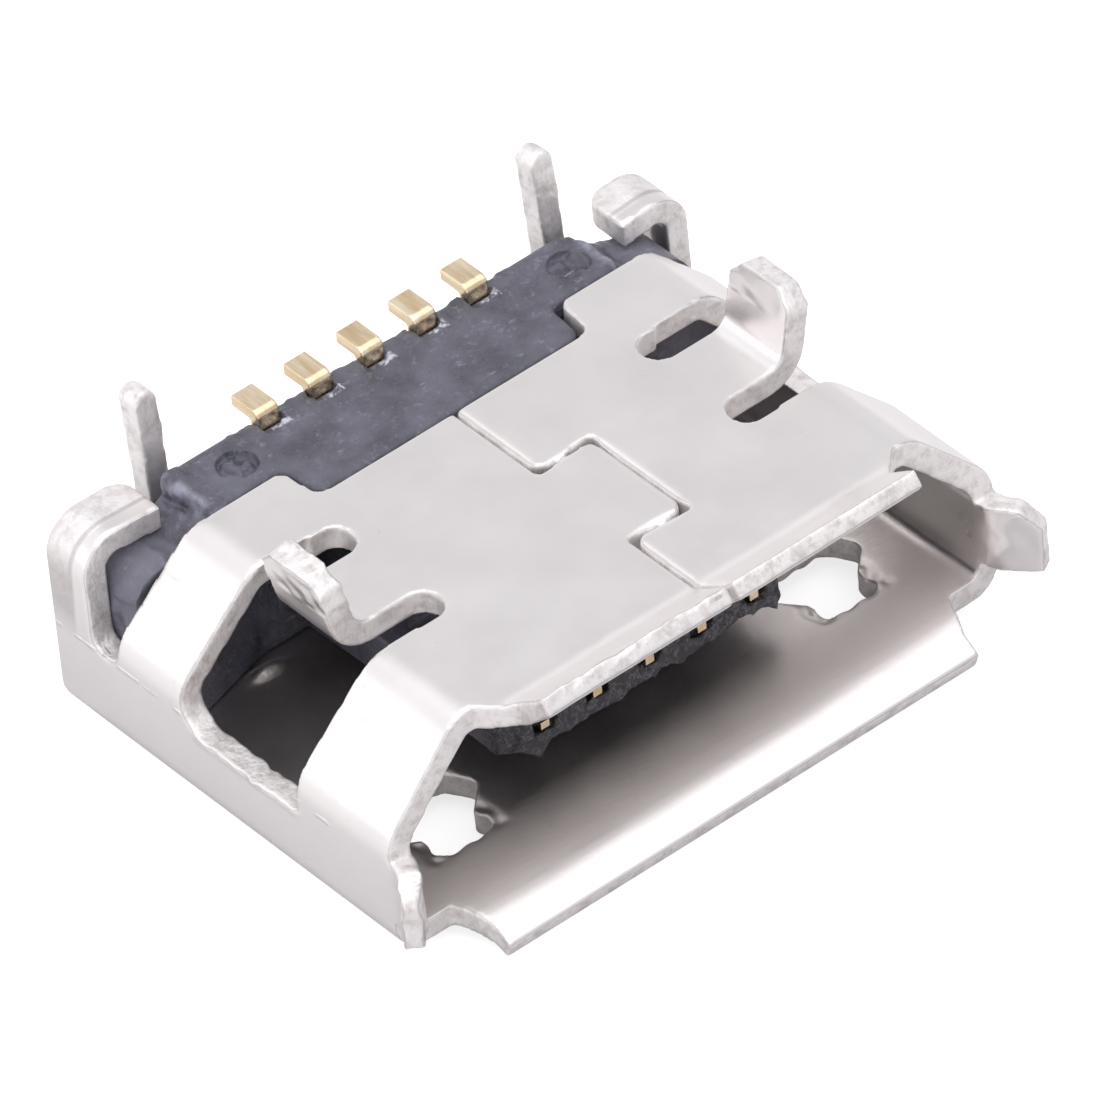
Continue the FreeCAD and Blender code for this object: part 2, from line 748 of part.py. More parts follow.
def cut_pin_marks(body):
    """The two round marks that the mould's ejector pins leave in the crown."""
    for side, label in ((-1, "left"), (1, "right")):
        sketch = new_sketch(body, f"pin_mark_circle_{label}", "XY_Plane", height=-cell("crown_drop"))
        x = cell(f"pin_mark_{label}") * side
        y = block_rear - cell("pin_mark_inset")
        radius = cell("pin_mark_diameter") / 2
        centre = FreeCAD.Vector(x.number, y.number, 0)
        circle = sketch.addGeometry(Part.Circle(centre, FreeCAD.Vector(0, 0, 1), radius.number), False)
        hold_point(sketch, circle, 3, x, y)
        index = sketch.addConstraint(Sketcher.Constraint("Radius", circle, radius.number))
        set_size(sketch, f"Constraints[{index}]", radius)
        extrude(body, "Pocket", f"pin_mark_{label}", sketch, cell("pin_mark_depth"))


def make_housing():
    body = new_body("housing")
    make_block(body)
    make_crown(body)
    make_tongue(body)
    cut_channels(body)
    cut_pin_marks(body)
    return body


bodies = [make_shell(), make_housing()]
bodies += [make_contact(number) for number in range(1, CONTACT_COUNT + 1)]
doc.recompute()

for item in doc.Objects:
    if "Invalid" in item.State or "Error" in item.State:
        raise RuntimeError(f"{item.Name} failed: {item.State}")
for body in bodies:
    if body.Shape.isNull() or not body.Shape.isValid() or len(body.Shape.Solids) != 1:
        raise RuntimeError(f"{body.Label} is not one valid solid")

os.makedirs("parts", exist_ok=True)
for body in bodies:
    body.Shape.exportStep(f"parts/{body.Label}.step")
    print(body.Label, round(body.Shape.Volume, 4), "mm3")
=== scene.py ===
import math
from functools import partial

import bmesh
import bpy
import numpy as np
from mathutils import Matrix, Vector
from mathutils import noise as relief
from mathutils.bvhtree import BVHTree


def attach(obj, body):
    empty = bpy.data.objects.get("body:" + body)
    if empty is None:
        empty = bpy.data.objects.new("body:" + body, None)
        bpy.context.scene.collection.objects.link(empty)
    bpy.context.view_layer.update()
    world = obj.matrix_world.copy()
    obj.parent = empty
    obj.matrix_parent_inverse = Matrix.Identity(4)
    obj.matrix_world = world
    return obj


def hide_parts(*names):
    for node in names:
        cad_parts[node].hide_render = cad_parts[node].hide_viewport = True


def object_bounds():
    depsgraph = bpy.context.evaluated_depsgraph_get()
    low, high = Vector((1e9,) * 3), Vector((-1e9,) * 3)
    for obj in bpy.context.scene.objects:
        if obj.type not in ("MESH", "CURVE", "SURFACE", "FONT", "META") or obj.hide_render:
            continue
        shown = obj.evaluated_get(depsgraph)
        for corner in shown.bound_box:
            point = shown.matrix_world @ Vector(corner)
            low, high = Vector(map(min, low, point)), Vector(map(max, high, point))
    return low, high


# The charging port connector with the finish of the photograph. Lengths are millimetres until a mesh is
# scaled down to the frame's metres. X runs along the contacts, the mouth looks towards -Y and the board
# side is up.
MM = 0.001
IMAGE_PIXELS = 1100

# The shell: its sheet, the inside of its wide plate, the outside of its walls, their rear edge, and the
# level of the fold between a wall and the slanted flank above it.
SHEET = 0.28
PLATE_INSIDE = -2.17
WALL_OUTSIDE = 3.77
REAR_EDGE = 5.05
FOLD_LEVEL = -1.30
# The seam's corners in the narrow plate, from the front edge to the rear edge, and the number of the stretch
# between them that stays a little open.
SEAM = ((0, -0.60), (0, 0.79), (0.68, 0.74), (0.68, 2.19), (0, 2.14), (0, 3.50))
OPEN_STRETCH = 3
# Centres and half sizes of the two latch windows in the wide plate.
LATCH_WINDOWS = ((-2.40, 1.065), (2.40, 1.065))
WINDOW_HALF_X, WINDOW_HALF_Y = 0.40, 0.495

# The moulding: the pitch of the contacts, the notches that their tails leave by, the tongue, and the round
# marks that the mould's ejector pins left.
CONTACTS = 5
CONTACT_PITCH = 0.65
TAIL_NOTCH = 4.50
TONGUE_HALF = 1.80
TONGUE_LOW, TONGUE_HIGH = -1.76, -1.22
PIN_MARKS = ((-1.92, 4.34), (2.20, 4.34))
PIN_MARK_RADIUS = 0.24

# Without a seed the lumps on the sheared edges would differ from run to run.
relief.seed_set(12)
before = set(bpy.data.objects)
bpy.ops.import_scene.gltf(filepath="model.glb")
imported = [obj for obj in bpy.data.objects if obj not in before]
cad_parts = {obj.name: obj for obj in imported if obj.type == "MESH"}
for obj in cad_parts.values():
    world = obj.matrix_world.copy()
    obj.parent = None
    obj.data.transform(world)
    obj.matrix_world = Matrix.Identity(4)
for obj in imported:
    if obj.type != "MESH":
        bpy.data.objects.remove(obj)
cad_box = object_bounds()
floor_level = min(corner[2] for corner in cad_box) / MM


def linear(code):
    """A colour given as sRGB hex, in the linear values that Blender's shaders take."""
    parts = [int(code[i : i + 2], 16) / 255 for i in (1, 3, 5)]
    return tuple(c / 12.92 if c <= 0.04045 else ((c + 0.055) / 1.055) ** 2.4 for c in parts) + (1.0,)


def add_node(tree, kind, *values, output=None, **named):
    """Add a shader node and give back the named output, or else the first one in use.

    The values go to the node's sockets in their order. A name that starts with a capital is a socket's own,
    and any other name is a setting. A value is a number, a colour or the output of another node.
    """
    made = tree.nodes.new("ShaderNode" + kind)
    sockets = {name.replace("_", " "): value for name, value in named.items() if name[0].isupper()}
    for name, value in named.items():
        if not name[0].isupper():
            setattr(made, name, value)
    in_use = [socket for socket in made.inputs if socket.enabled]
    given = list(zip(in_use, values)) + [(made.inputs[name], value) for name, value in sockets.items()]
    for socket, value in given:
        if isinstance(value, bpy.types.NodeSocket):
            tree.links.new(value, socket)
        elif value is not None:
            socket.default_value = value
    return made.outputs[output] if output else next((s for s in made.outputs if s.enabled), None)


def new_material(name):
    """A material, the function that adds its nodes, and the piece's own position in millimetres."""
    material = bpy.data.materials.new(name)
    material.use_nodes = True
    material.node_tree.nodes.clear()
    node = partial(add_node, material.node_tree)
    place = node("VectorMath", node("TexCoord", output="Object"), 1 / MM, operation="SCALE")
    return material, node, place


def grain(node, place, size, low=0.0, high=1.0, most=1.0, detail=4.0, roughness=0.55, stretch=None):
    """A pattern whose largest forms are one size in millimetres across.

    It is nothing where its noise is below low, and has its most where that is above high. stretch says how
    much finer or coarser it is along each axis.
    """
    if stretch:
        place = node("Mapping", place, Scale=stretch)
    noise = node("TexNoise", place, Scale=1 / size, Detail=detail, Roughness=roughness)
    return node("MapRange", noise, low, high, 0.0, most)


def band(node, value, low, high, edge):
    """One between two limits, fading to nothing over an edge on both sides."""
    rise = node("MapRange", value, low - edge, low)
    fall = node("MapRange", value, high, high + edge, 1.0, 0.0)
    return together(node, rise, fall)


def together(node, share, *others):
    """The place that several shares have in common, which is their product."""
    for other in others:
        share = node("Math", share, other, operation="MULTIPLY")
    return share


def painted(node, base, layers):
    """A base colour under layers of other colours, each laid on by its own share."""
    colour = linear(base)
    for share, code in layers:
        colour = node("Mix", share, colour, linear(code), data_type="RGBA")
    return colour


def embossed(node, layers):
    """The normal of a surface with layers of relief, each a height and its depth in millimetres."""
    normal = None
    for height, depth in layers:
        normal = node("Bump", Strength=1.0, Distance=depth * MM, Height=height, Normal=normal)
    return normal


def nickel_plate():
    """Satin nickel plate on stamped steel.

    It gives the eye a warm pale metal with a faint mottle and small stains. Its reflections blur towards the
    lip of the mouth, and where the sheet was sheared it is torn and duller, with a thin dark outline.
    """
    material, node, place = new_material("satin_nickel_plate")
    x, y, z = node("SeparateXYZ", place).node.outputs
    beside = node("Math", x, operation="ABSOLUTE")
    facing = node("SeparateXYZ", node("TexCoord", output="Normal")).node.outputs["Z"]

    # Where the surface is the inside of the wide plate, the part of it near the lip, or a cut edge. The rear
    # legs and the ears' rear ends look sheared all round, the more so the higher up they are.
    faces_up = node("MapRange", facing, 0.55, 0.85)
    low_down = node("MapRange", z, PLATE_INSIDE + 0.27, PLATE_INSIDE + 0.17)
    behind_lip = node("MapRange", y, -0.42, -0.12)
    mouth_floor = together(node, faces_up, low_down, behind_lip)
    near_lip = together(node, mouth_floor, node("MapRange", y, 0.7, -0.1))
    at_rear = node("MapRange", y, REAR_EDGE - 0.45, REAR_EDGE - 0.35)
    rear_ends = together(node, at_rear, node("MapRange", z, -1.6, 0.4))
    cut = node("Attribute", attribute_name="cut_edge", output="Fac")
    cut = node("Math", cut, rear_ends, operation="MAXIMUM")

    mottle = grain(node, place, 1.6, 0.35, 0.65, detail=5.0)
    stains = grain(node, place, 0.13, 0.72, 0.80, 0.30, detail=3.0)
    # Fine lines that the tool drew along the slanted flank.
    drawn = grain(node, place, 0.045, 0.66, 0.74, 0.45, detail=3.0, stretch=(0.4, 0.06, 1.0))
    drawn = together(node, drawn, band(node, z, -0.85, -0.35, 0.10))
    patches = together(node, grain(node, place, 0.16, 0.46, 0.66, 0.55, detail=5.0, roughness=0.7), cut)
    outline = together(node, band(node, cut, 0.30, 0.50, 0.20), 0.38)
    browner = together(node, mouth_floor, 0.6)
    base = painted(
        node,
        "#eeeae9",
        (
            (mottle, "#f2efed"),
            (stains, "#a59f99"),
            (drawn, "#b5b0ae"),
            (browner, "#ddd3cd"),
            (patches, "#b3aaa6"),
            (outline, "#8d8785"),
        ),
    )

    # Satin plate has a roughness near 0.3. Rubbed places, cut edges and the mouth's floor are rougher.
    rough = grain(node, place, 0.7, 0.3, 0.7, 0.08, detail=5.0, roughness=0.6)
    for share, more in ((1.0, 0.27), (cut, 0.20), (mouth_floor, 0.07), (near_lip, 0.32)):
        rough = node("Math", share, more, rough, operation="MULTIPLY_ADD")
    metallic = node("MapRange", cut, 0.0, 1.0, 1.0, 0.75)
    metallic = node("Math", near_lip, -0.24, metallic, operation="MULTIPLY_ADD")

    # Relief: the plate's own grain and its rolling lines, both drawn coarser than they are so that they
    # show, brush marks in the mouth, torn metal on cut edges, and short dashes along the fold outside.
    plated = grain(node, place, 0.05, detail=3.0)
    rolled = grain(node, place, 0.12, detail=2.0, stretch=(1.0, 0.06, 1.0))
    brushed = together(node, grain(node, place, 0.06, stretch=(0.35, 1.0, 1.0)), mouth_floor)
    torn = together(node, grain(node, place, 0.09, stretch=(1.0, 1.0, 0.6)), cut)
    dashes = together(
        node,
        grain(node, place, 0.10, 0.50, 0.58, detail=3.0, stretch=(1.0, 0.45, 0.2)),
        band(node, z, FOLD_LEVEL - 0.015, FOLD_LEVEL + 0.015, 0.012),
        node("MapRange", beside, WALL_OUTSIDE - 0.12, WALL_OUTSIDE - 0.07),
    )
    layers = ((plated, 0.0010), (rolled, 0.0005), (brushed, 0.003), (torn, 0.014), (dashes, 0.008))
    normal = embossed(node, layers)
    shader = node("BsdfPrincipled", Base_Color=base, Metallic=metallic, Roughness=rough, Normal=normal)
    node("OutputMaterial", shader)
    return material


def dark_moulding():
    """Glass-filled moulding.

    It gives the eye a blue-grey, faintly shiny plastic that is cloudy and scuffed. Painted shade makes it
    almost black on the tongue's torn front and darker inside the shell, and painted light makes its outer
    sides paler.
    The pale nicks where the tails come out carry a painted glint, and the crown's ends a painted highlight.
    """
    material, node, place = new_material("dark_glass_filled_moulding")
    x, y, z = node("SeparateXYZ", place).node.outputs
    beside = node("Math", x, operation="ABSOLUTE")

    cloud = grain(node, place, 0.5, 0.35, 0.7, detail=6.0, roughness=0.65)
    scuffs = grain(node, place, 0.10, 0.56, 0.70, 0.65, detail=5.0, roughness=0.75)
    scratches = grain(node, place, 0.05, 0.70, 0.76, 0.6, detail=2.0, stretch=(0.12, 1.0, 1.0))
    # Painted light: the outermost sides beside the shoulders are made paler.
    painted_light_sides = node("MapRange", beside, 2.70, 2.95, 0.0, 0.35)
    # Painted shade: the moulding inside the shell is darkened.
    painted_shade_in_shell = together(node, node("MapRange", y, 4.25, 4.05), node("MapRange", z, -0.3, -0.4, 0.0, 0.2))
    # Painted shade: the tongue's front, deep in the mouth, is darkened almost to black.
    painted_shade_tongue_front = node("MapRange", y, 1.3, 0.9, 0.0, 0.88)

    # Pale threads of flash: thin lines where the noise crosses its middle.
    threads = band(node, grain(node, place, 0.16, detail=5.0, roughness=0.7), 0.49, 0.51, 0.012)
    threads = together(node, threads, node("MapRange", y, 1.1, 0.9), 0.22)

    # Pale nicks to the right of each tail's middle, brightened further by a painted glint. The columns are
    # counted from well outside the left end, because the remainder is taken of a positive number.
    column = node("Math", x, CONTACT_PITCH * (2 * CONTACTS + 0.5), operation="ADD")
    column = node("Math", column, CONTACT_PITCH, operation="MODULO")
    nicks_and_painted_glints = together(
        node,
        band(node, column, CONTACT_PITCH / 2, CONTACT_PITCH / 2 + 0.15, 0.03),
        band(node, y, TAIL_NOTCH - 0.04, TAIL_NOTCH + 0.07, 0.02),
        band(node, x, -1.5, 1.6, 0.05),
        grain(node, place, 0.05, 0.42, 0.55),
        0.8,
    )
    # Painted highlight on the crown's ends, along their bevel.
    painted_highlight_crown_ends = together(
        node,
        band(node, beside, 2.50, 2.66, 0.06),
        node("MapRange", z, -0.35, -0.2),
        grain(node, place, 0.25, 0.42, 0.62, 0.6, detail=5.0),
    )
    base = painted(
        node,
        "#464650",
        (
            (cloud, "#666672"),
            (scuffs, "#8a8a97"),
            (scratches, "#a5a5b0"),
            (painted_light_sides, "#8f8f9b"),
            (painted_shade_in_shell, "#1d1d20"),
            (painted_shade_tongue_front, "#202024"),
            (threads, "#a9a9b4"),
            (nicks_and_painted_glints, "#d3d3dd"),
            (painted_highlight_crown_ends, "#a6a6b8"),
        ),
    )
    rough = node("MapRange", cloud, 0.0, 1.0, 0.26, 0.42)
    moulded = grain(node, place, 0.06, detail=5.0, roughness=0.65)
    normal = embossed(node, ((moulded, 0.014),))
    node("OutputMaterial", node("BsdfPrincipled", Base_Color=base, Roughness=rough, Normal=normal))
    return material


def gold_plate():
    """Gold over nickel.

    It gives the eye a bright pale yellow metal, a little browner and duller in streaks along the strip.
    """
    material, node, place = new_material("gold_plate")
    streak = grain(node, place, 0.10, stretch=(1.0, 0.15, 1.0))
    base = painted(node, "#e2c99f", ((node("MapRange", streak, 0.35, 0.65), "#f6e7cb"),))
    rough = node("MapRange", streak, 0.3, 0.7, 0.2, 0.32)
    plated = grain(node, place, 0.03, detail=3.0)
    normal = embossed(node, ((plated, 0.0012),))
    shader = node("BsdfPrincipled", Base_Color=base, Metallic=1.0, Roughness=rough, Normal=normal)
    node("OutputMaterial", shader)
    return material


def swap_mesh(piece, mesh):
    """Give a piece a new mesh and drop the old one with its modifiers."""
    old = piece.data
    piece.modifiers.clear()
    piece.data = mesh
    bpy.data.meshes.remove(old)


def applied(piece):
    """A piece's mesh with its modifiers applied."""
    return bpy.data.meshes.new_from_object(piece.evaluated_get(bpy.context.evaluated_depsgraph_get()))


def read_points(mesh):
    """A mesh's points as an array with one row for each."""
    points = np.empty(len(mesh.vertices) * 3)
    mesh.vertices.foreach_get("co", points)
    return points.reshape(-1, 3)


def rounded_copy(name, cad_node, voxel, smoothing, triangles, material, shape, mark=None):
    """A copy of a CAD node, cut into small even faces and smoothed, so that its sheared edges are soft.

    shape moves the points, in millimetres, between the two steps. mark may store values on the new mesh.
    """
    work = bmesh.new()
    work.from_mesh(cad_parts[cad_node].data)
    same_point = 0.0001
    bmesh.ops.scale(work, vec=Vector((1, 1, 1)) / MM, verts=work.verts)
    bmesh.ops.remove_doubles(work, verts=work.verts, dist=same_point)
    mesh = bpy.data.meshes.new(name)
    work.to_mesh(mesh)
    work.free()
    piece = bpy.data.objects.new(name, mesh)
    bpy.context.scene.collection.objects.link(piece)
    remesh = piece.modifiers.new("even_faces", "REMESH")
    remesh.mode = "VOXEL"
    remesh.voxel_size = voxel
    swap_mesh(piece, applied(piece))
    points = shape(read_points(piece.data))
    piece.data.vertices.foreach_set("co", points.ravel())
    smooth = piece.modifiers.new("soft_edges", "SMOOTH")
    smooth.factor = 0.5
    smooth.iterations = smoothing
    thin = piece.modifiers.new("fewer_faces", "DECIMATE")
    thin.ratio = min(1.0, triangles / (2 * len(piece.data.polygons)))
    swap_mesh(piece, applied(piece))
    if mark:
        mark(piece.data)
    piece.data.transform(Matrix.Scale(MM, 4))
    piece.data.shade_smooth()
    piece.data.materials.clear()
    piece.data.materials.append(material)
    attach(piece, "root")
    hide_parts(cad_node)
    return piece


def bell(distance, width):
    """One at no distance, falling away over a width."""
    return np.exp(-((distance / width) ** 2))


def ramp(value, start, end):
    """Nothing at the start and one at the end, straight between them."""
    return np.clip((value - start) / (end - start), 0, 1)


def mark_cut_edges(mesh):
    """Store on each point of the sheet whether it lies on a cut edge, where the metal behind it is deep."""
    corners = read_points(mesh)
    tree = BVHTree.FromPolygons(corners.tolist(), [tuple(face.vertices) for face in mesh.polygons])
    skin, no_wall = 0.02, 9.0
    depth = np.full(len(mesh.vertices), no_wall)
    for number, vertex in enumerate(mesh.vertices):
        inward = -vertex.normal
        hit = tree.ray_cast(vertex.co + inward * skin, inward)
        if hit[0] is not None:
            depth[number] = hit[3] + skin
    share = ramp(depth, 1.15 * SHEET, 1.65 * SHEET)
    # Each point takes the mean of itself and its neighbours, so that the mark has a soft outline.
    ends = np.empty(len(mesh.edges) * 2, dtype=np.int32)
    mesh.edges.foreach_get("vertices", ends)
    first, last = ends.reshape(-1, 2).T
    total, count = share.copy(), np.ones(len(share))
    for one, other in ((first, last), (last, first)):
        np.add.at(total, one, share[other])
        np.add.at(count, one, 1)
    attribute = mesh.attributes.new("cut_edge", "FLOAT", "POINT")
    attribute.data.foreach_set("value", (total / count).astype(np.float32))


def roughen(points, where, size, depth):
    """Push the chosen points about in lumps of one size."""
    for number in np.nonzero(where)[0]:
        points[number] += np.array(relief.noise_vector(Vector(points[number] / size))) * depth


def close_seam(points):
    """Bring the two sides of the plate's seam together and roll their edges down, but not at its corners."""
    half_gap, closed, reach = 0.030, 0.004, 0.12
    corner_width, roll_width, roll_depth = 0.13, 0.035, 0.030
    open_share = 0.35
    plate_level, skin_level = -0.45, -0.12
    flat = points[:, :2]
    nearest = np.full(len(points), np.inf)
    open_end = np.zeros(len(points), dtype=bool)
    signed = np.zeros(len(points))
    across = np.zeros_like(flat)
    for number, (first, last) in enumerate(zip(SEAM, SEAM[1:])):
        first, last = np.array(first), np.array(last)
        length = np.linalg.norm(last - first)
        along = (last - first) / length
        normal = np.array((-along[1], along[0]))
        foot = np.clip((flat - first) @ along, 0, length)
        distance = np.linalg.norm(flat - first - foot[:, None] * along, axis=1)
        closer = distance < nearest
        nearest[closer] = distance[closer]
        signed[closer] = ((flat - first) @ normal)[closer]
        across[closer] = normal
        open_end[closer] = number == OPEN_STRETCH
    corner = np.min([np.linalg.norm(flat - np.array(c), axis=1) for c in SEAM[1:-1]], axis=0)
    share = (1 - bell(corner, corner_width)) * (points[:, 2] > plate_level)
    share = share * np.where(open_end, open_share, 1.0)
    narrow = closed + (nearest - half_gap) * (reach - closed) / (reach - half_gap)
    target = np.where(nearest < half_gap, nearest * closed / half_gap, narrow)
    shift = np.where(nearest < reach, target - nearest, 0) * share
    moved = points.copy()
    moved[:, :2] += across * (np.sign(signed) * shift)[:, None]
    top = points[:, 2] > skin_level
    moved[:, 2] -= roll_depth * bell(nearest + shift, roll_width) * top * share
    return moved


def shape_shell(points):
    """The sheet's small marks: its closed seam, window rims, a ledge, a raised spot and sheared lumps."""
    points = close_seam(points)
    x, y, z = points.T.copy()
    beside = np.abs(x)

    # The rims of the latch windows are drawn down unevenly.
    wide_plate = z < PLATE_INSIDE + 0.17
    rim_depth, rim_width = 0.040, 0.06
    for centre_x, centre_y in LATCH_WINDOWS:
        reach_x = np.abs(x - centre_x) - WINDOW_HALF_X
        reach_y = np.abs(y - centre_y) - WINDOW_HALF_Y
        outside = np.hypot(np.maximum(reach_x, 0), np.maximum(reach_y, 0))
        ripple = 0.55 + 0.45 * np.sin(x * 23.0 + 1.3) * np.sin(y * 19.0)
        points[:, 2] -= rim_depth * bell(outside, rim_width) * wide_plate * ripple
        roughen(points, (outside < 0.10) & wide_plate, 0.12, 0.005)

    # A beaded ledge was left on the left wall where the front leg was cut free.
    ledge_level, ledge_height, ledge_depth = -1.47, 0.045, 0.045
    left_wall = x < -3.3
    ledge = bell(z - ledge_level, ledge_height) * left_wall * ramp(y, 1.35, 1.475) * ramp(y, 3.0, 2.875)
    bead = 0.7 + 0.3 * np.sin(y * 21.0) * np.sin(y * 7.3 + 0.8) + 0.9 * bell(y - 2.02, 0.05)
    points[:, 0] -= ledge_depth * ledge * bead

    # The narrow plate isn't quite flat.
    wave_height = 0.004
    points[:, 2] += wave_height * np.sin(x * 2.1 + 0.4) * np.sin(y * 2.7) * bell(z, 0.4)

    # A raised spot of the wide plate catches the light in front of the moulding.
    spot_x, spot_y, spot_height = -2.24, 3.80, 0.10
    spot = bell(x - spot_x, 0.20) * bell(y - spot_y, 0.07) * (np.abs(z - PLATE_INSIDE) < spot_height)
    points[:, 2] += spot_height * spot

    # Sheared metal is lumpy. Each place has its own size of lump and its own depth. On the left the top of
    # the front lip is as lumpy as the front leg.
    rear_legs = (beside < 2.70) & (y > REAR_EDGE - 0.25) & (z > -1.9)
    left_leg_and_lip_top = (x < 0) & (y < 4) & (z > 0.30)
    right_leg = (x > 0) & (y < 4) & (z > 0.45)
    left_lip = (x < -3.3) & (y < -0.10)
    right_lip = (x > 3.3) & (y < -0.10)
    front_edge = (beside < 3.9) & (y < 0.02) & (z > -2.0)
    for where, size, depth in (
        (rear_legs, 0.22, 0.012),
        (left_leg_and_lip_top, 0.15, 0.020),
        (right_leg, 0.18, 0.012),
        (left_lip, 0.13, 0.026),
        (right_lip, 0.18, 0.014),
        (front_edge, 0.20, 0.004),
    ):
        roughen(points, where, size, depth)
    return points


def shape_housing(points):
    """The moulding's set-back front, torn tongue, dented pin marks, chipped notches and soft corners."""
    x, y, z = points.T.copy()
    beside = np.abs(x)

    # Around the tongue the front stands further back, but less so at the sides. It keeps a little relief.
    tongue = (beside < TONGUE_HALF) & (z > TONGUE_LOW) & (z < TONGUE_HIGH)
    middle_front, sides_forward, flatness = 4.10, 0.30, 0.95
    front = middle_front - sides_forward * ramp(beside, 2.1, 3.1)
    set_back = ramp(z, -SHEET, -SHEET - 0.05) * ~tongue * (y < front)
    points[:, 1] += set_back * (front - y) * flatness

    # The tongue's lower front edge is torn away, but for a few threads that hang down.
    edge = tongue & (y < 1.0)
    lower = np.clip((-1.55 - z) * 6, 0, 1) * edge
    torn = np.clip(0.4 + 0.5 * np.sin(x * 9.7 + 0.7) * np.sin(x * 4.1), 0, 1.2)
    points[:, 2] += 0.07 * torn * lower
    threads = ((-1.40, 0.08, 0.12), (-1.28, 0.04, 0.07), (1.55, 0.05, 0.15), (1.68, 0.04, 0.18))
    for thread_x, width, length in threads:
        points[:, 2] -= length * bell(x - thread_x, width) * lower
    roughen(points, edge & (z < -1.45), 0.10, 0.045)

    # The floors of the round pin marks come up to the fill's level in some places.
    fill_level, waves_per_mm, shift = -0.05, 9, Vector((0.3, 0.8, 0))
    for centre_x, centre_y in PIN_MARKS:
        inside = (np.hypot(x - centre_x, y - centre_y) < PIN_MARK_RADIUS) & (z > -0.16) & (z < -0.01)
        for number in np.nonzero(inside)[0]:
            fill = relief.noise(Vector(points[number] * (waves_per_mm, waves_per_mm, 0)) + shift)
            fill = min(max(fill * 2.2 + 0.35, 0.0), 1.0)
            points[number, 2] = points[number, 2] * (1 - fill) + fill_level * fill

    # A chip stands up beside each tail, the crown's rear edge is rough, and the shoulders are lumpy.
    chip_height, chip_offset = 0.055, 0.09
    crown = z > -0.10
    for number in range(CONTACTS):
        chip_x = (number - (CONTACTS - 1) / 2) * CONTACT_PITCH + chip_offset
        chip = bell(x - chip_x, 0.06) * bell(y - TAIL_NOTCH, 0.05) * crown
        points[:, 2] += chip_height * chip
    roughen(points, crown & (y > TAIL_NOTCH - 0.08) & (beside < 1.75), 0.09, 0.030)
    roughen(points, (beside > 2.35) & (y > 3.6) & (z > -1.6), 0.22, 0.060)

    # The upper corners under the ears are rounded off.
    x, y, z = points.T.copy()
    centre_x, centre_z, radius = 3.08, -0.84, 0.39
    away_x, away_z = np.abs(x) - centre_x, z - centre_z
    corner = (away_x > 0) & (away_z > 0) & (y > 3.9)
    away = np.hypot(away_x, away_z)
    draw = np.where(corner & (away > radius), radius / np.maximum(away, 0.001), 1.0)
    points[:, 0] = np.where(corner, np.sign(x) * (centre_x + away_x * draw), x)
    points[:, 2] = np.where(corner, centre_z + away_z * draw, points[:, 2])
    return points


def shape_contact(points):
    """The blade's cut tip, a small knob narrower and thinner than the strip."""
    x, y, z = points.T.copy()
    narrower, thinner = 0.60, 0.35
    tip = ramp(y, 0.86, 0.735) * (z < -1.0)
    centre = (x.min() + x.max()) / 2
    level = z[tip > 0.9].mean()
    points[:, 0] = centre + (x - centre) * (1 - narrower * tip)
    points[:, 2] = level + (z - level) * (1 - thinner * tip)
    return points


def add_camera():
    """The photograph's view: a long lens from the mouth's left, above, with the camera rolled a little."""
    azimuth, elevation, roll = (math.radians(v) for v in (-35.86, 40.85, -6.19))
    distance, pixels_per_mm = 201.0, 104.91
    aim, aim_pixel = Vector((0, 3.40, 0)), (454.2, 411.3)
    level = Vector((math.cos(azimuth), math.sin(azimuth), 0))
    away = Vector((math.sin(azimuth), -math.cos(azimuth), 0))
    back = away * math.cos(elevation) + Vector((0, 0, math.sin(elevation)))
    rise = back.cross(level)
    right = level * math.cos(roll) + rise * math.sin(roll)
    up = rise * math.cos(roll) - level * math.sin(roll)
    across, below = ((pixel - IMAGE_PIXELS / 2) / pixels_per_mm for pixel in aim_pixel)
    place = aim + back * distance - right * across + up * below
    camera = bpy.data.cameras.new("camera")
    camera.sensor_width = 36.0
    camera.lens = pixels_per_mm * distance / IMAGE_PIXELS * camera.sensor_width
    camera.clip_start = 0.01
    camera.clip_end = 10.0
    holder = bpy.data.objects.new("camera", camera)
    axes = Matrix((right, up, back)).transposed().to_4x4()
    holder.matrix_world = Matrix.Translation(place * MM) @ axes
    bpy.context.scene.collection.objects.link(holder)
    bpy.context.scene.camera = holder


def add_floor():
    """A plain pale floor that looks white to the camera and keeps the part's faint shadow.

    Its mirror image in the metal is lit too, but only away from the part, beside it and behind it.
    """
    half = 400.0
    mesh = bpy.data.meshes.new("floor")
    corners = [(-half, -half), (half, -half), (half, half), (-half, half)]
    mesh.from_pydata([(x * MM, y * MM, floor_level * MM) for x, y in corners], [], [(0, 1, 2, 3)])
    floor = bpy.data.objects.new("floor", mesh)
    bpy.context.scene.collection.objects.link(floor)

    material, node, place = new_material("white_paper")
    x, y, _ = node("SeparateXYZ", place).node.outputs
    rays = node("LightPath").node.outputs
    beside = node("Math", node("Math", x, operation="ABSOLUTE"), WALL_OUTSIDE, operation="SUBTRACT")
    behind = node("Math", y, REAR_EDGE + 0.05, operation="SUBTRACT")
    away = node("Math", beside, behind, operation="MAXIMUM")
    seen_glow, mirrored_glow = 0.72, 0.22
    mirrored = together(node, rays["Is Glossy Ray"], node("MapRange", away, 0.9, 2.6, 0.0, mirrored_glow))
    glow = node("Math", rays["Is Camera Ray"], seen_glow, mirrored, operation="MULTIPLY_ADD")
    shader = node(
        "BsdfPrincipled",
        Base_Color=linear("#cecdcd"),
        Roughness=0.9,
        Specular_IOR_Level=0.1,
        Emission_Color=linear("#ffffff"),
        Emission_Strength=glow,
    )
    node("OutputMaterial", shader)
    mesh.materials.append(material)


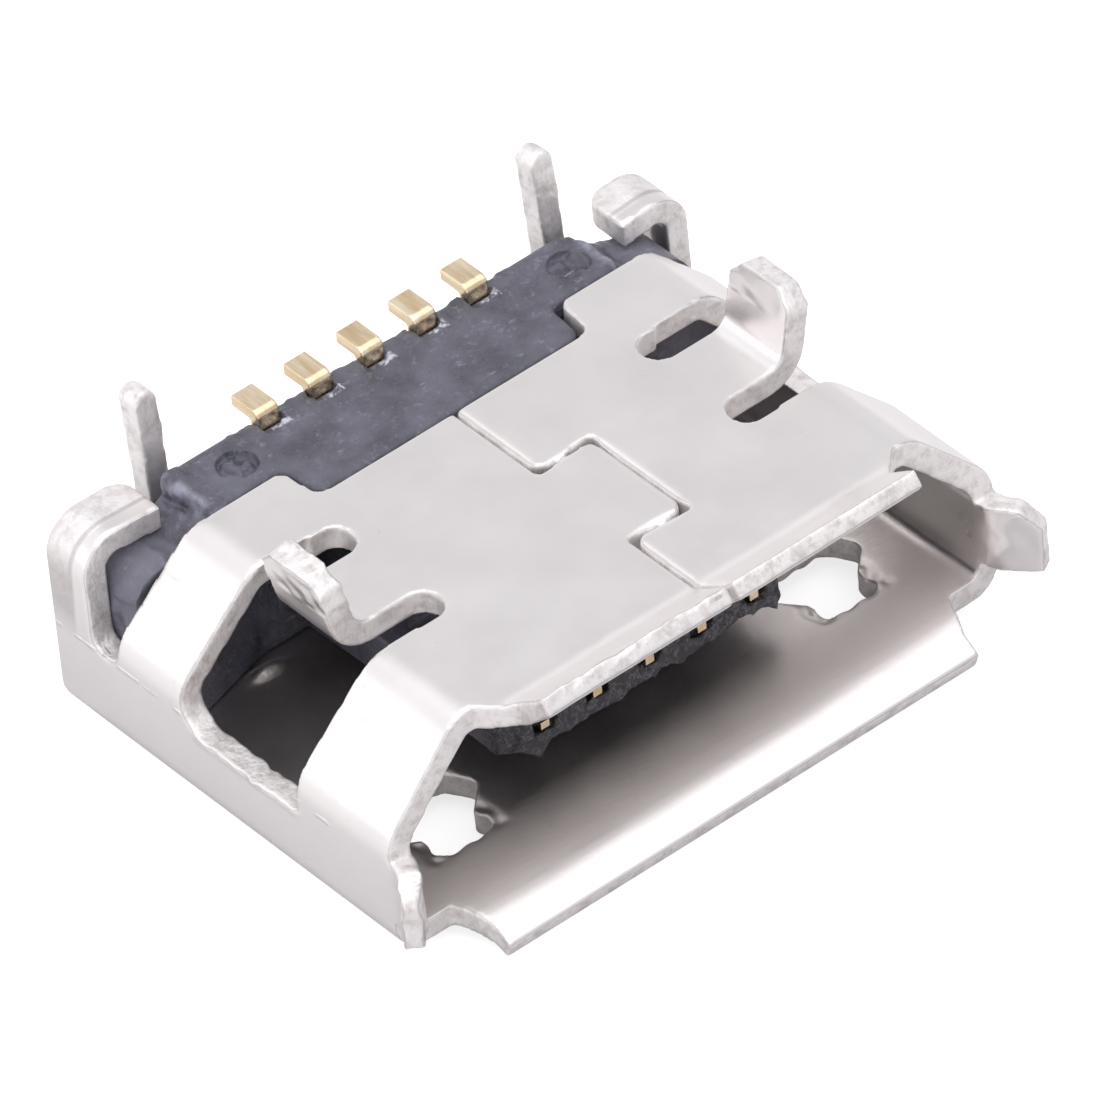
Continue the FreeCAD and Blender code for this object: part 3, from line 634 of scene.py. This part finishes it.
def add_room():
    """A white light tent: bright low at the rear left, overhead and over the mouth, calmer between."""
    world = bpy.data.worlds.new("light_tent")
    world.use_nodes = True
    world.node_tree.nodes.clear()
    node = partial(add_node, world.node_tree)
    x, y, z = node("SeparateXYZ", node("TexCoord", output="Generated")).node.outputs
    leftward = node("Math", x, -0.80, node("Math", y, 0.35, operation="MULTIPLY"), operation="MULTIPLY_ADD")

    # The tent's strength at mid height, and low down at its sides, both growing to the left.
    mid_height = node("MapRange", leftward, 0.0, 0.5, 0.71, 1.00)
    low_sides = node("MapRange", leftward, -0.8, 0.8, 0.66, 1.38)
    low = node("MapRange", z, 0.42, 0.60, 1.0, 0.0)
    difference = node("Math", low_sides, mid_height, operation="SUBTRACT")
    wall = node("Math", difference, low, mid_height, operation="MULTIPLY_ADD")
    overhead = node("MapRange", z, 0.80, 0.90, 0.0, 1.1)
    over_mouth = together(node, node("MapRange", y, 0.05, -0.35), node("MapRange", z, 0.50, 0.75))
    extra = node("Math", overhead, over_mouth, operation="MAXIMUM")
    lit = node("Math", wall, extra, operation="ADD")

    # To the camera the tent is at least white.
    seen = together(node, node("LightPath", output="Is Camera Ray"), 1.05)
    strength = node("Math", lit, seen, operation="MAXIMUM")
    node("OutputWorld", node("Background", Color=linear("#fdfcff"), Strength=strength))
    bpy.context.scene.world = world


nickel = nickel_plate()
moulding = dark_moulding()
gold = gold_plate()
rounded_copy(
    "folded_shell",
    "shell",
    voxel=0.025,
    smoothing=5,
    triangles=190000,
    material=nickel,
    shape=shape_shell,
    mark=mark_cut_edges,
)
rounded_copy(
    "moulded_core",
    "housing",
    voxel=0.025,
    smoothing=2,
    triangles=120000,
    material=moulding,
    shape=shape_housing,
)
for number in range(1, CONTACTS + 1):
    rounded_copy(
        f"gold_contact_{number}",
        f"contact_{number}",
        voxel=0.014,
        smoothing=2,
        triangles=12000,
        material=gold,
        shape=shape_contact,
    )
add_camera()
add_floor()
add_room()
bpy.context.scene.view_settings.view_transform = "Standard"
